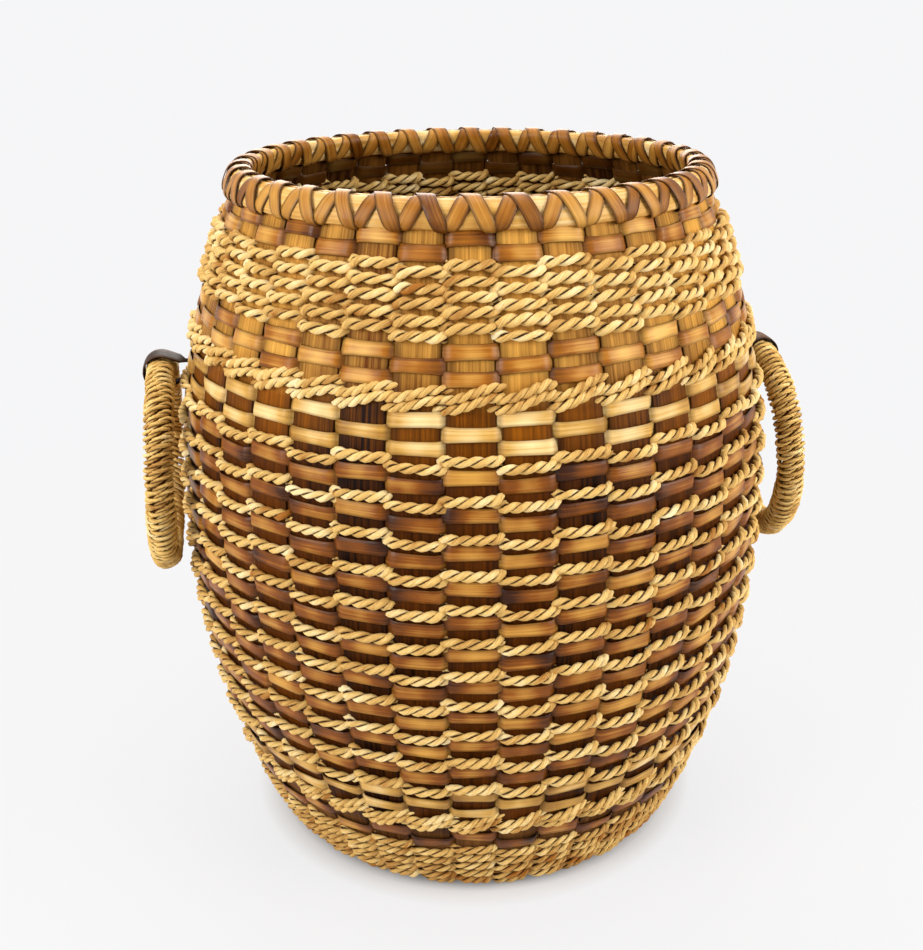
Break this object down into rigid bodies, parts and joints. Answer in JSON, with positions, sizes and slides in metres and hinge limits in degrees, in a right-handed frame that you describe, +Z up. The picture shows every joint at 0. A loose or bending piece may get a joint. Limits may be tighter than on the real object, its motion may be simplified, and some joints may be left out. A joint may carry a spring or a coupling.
{
  "type": "barrel basket",
  "caption": "Barrel-shaped basket woven from split wood and twisted cord on upright splints, with a cross-lashed double rim hoop and a hanging ring handle on each side.",
  "frame": {"origin": "middle of the base, on the surface that the basket stands on", "axes": "+Z up through the mouth, the ring handles on -X and +X, an upright in the middle of the -Y side"},
  "size_m": [0.3415, 0.3086, 0.3554],
  "materials": {
    "upright_splint": "stained split wood, semi-matt",
    "brown_splint": "stained split wood with a worn gloss",
    "pale_splint": "natural split wood, satin",
    "straw_cord": "two-ply twisted plant fibre, matt",
    "hoop_wood": "natural bent wood, satin",
    "lashing_splint": "stained split wood with a worn gloss",
    "ring_core_wood": "plain bent wood",
    "strap_splint": "dark stained split wood"
  },
  "bodies": {
    "basket": {"base_splint_x_01": "upright_splint", "base_splint_x_02": "upright_splint", "base_splint_x_03": "upright_splint", "base_splint_x_04": "upright_splint", "base_splint_x_05": "upright_splint", "base_splint_x_06": "upright_splint", "base_splint_x_07": "upright_splint", "base_splint_x_08": "upright_splint", "base_splint_x_09": "upright_splint", "base_splint_x_10": "upright_splint", "base_splint_y_01": "upright_splint", "base_splint_y_02": "upright_splint", "base_splint_y_03": "upright_splint", "base_splint_y_04": "upright_splint", "base_splint_y_05": "upright_splint", "base_splint_y_06": "upright_splint", "base_splint_y_07": "upright_splint", "base_splint_y_08": "upright_splint", "base_splint_y_09": "upright_splint", "foot_cord_weaver_01": "straw_cord", "foot_cord_weaver_02": "straw_cord", "lower_brown_weaver": "brown_splint", "lower_twined_weaver": "straw_cord", "lower_straw_weaver": "pale_splint", "belly_weaver_01": "brown_splint", "belly_weaver_02": "brown_splint", "belly_weaver_03": "brown_splint", "belly_weaver_04": "brown_splint", "belly_weaver_05": "brown_splint", "belly_weaver_06": "brown_splint", "belly_weaver_07": "brown_splint", "belly_weaver_08": "brown_splint", "belly_weaver_09": "brown_splint", "belly_weaver_10": "brown_splint", "belly_weaver_11": "brown_splint", "upper_straw_weaver_01": "pale_splint", "upper_straw_weaver_02": "pale_splint", "upper_twined_weaver": "straw_cord", "shoulder_brown_weaver_01": "brown_splint", "shoulder_brown_weaver_02": "brown_splint", "neck_cord_weaver_01": "straw_cord", "neck_cord_weaver_02": "straw_cord", "neck_cord_weaver_03": "straw_cord", "rim_brown_weaver": "brown_splint", "rim_outer_hoop": "hoop_wood", "rim_inner_hoop": "hoop_wood", "rim_lashing_under": "lashing_splint", "rim_lashing_over": "lashing_splint", "left_ring_strap": "strap_splint", "right_ring_strap": "strap_splint"},
    "left_handle": {"left_ring_core": "ring_core_wood", "left_ring_winding": "straw_cord"},
    "right_handle": {"right_ring_core": "ring_core_wood", "right_ring_winding": "straw_cord"}
  },
  "joints": [
    {"name": "left_ring_swing", "type": "hinge", "parent": "basket", "child": "left_handle", "pos_m": [-0.15769, 0, 0.253], "axis": [0, 1, 0], "range_deg": [0, 180]},
    {"name": "right_ring_swing", "type": "hinge", "parent": "basket", "child": "right_handle", "pos_m": [0.15769, 0, 0.245], "axis": [0, -1, 0], "range_deg": [0, 180]}
  ]
}
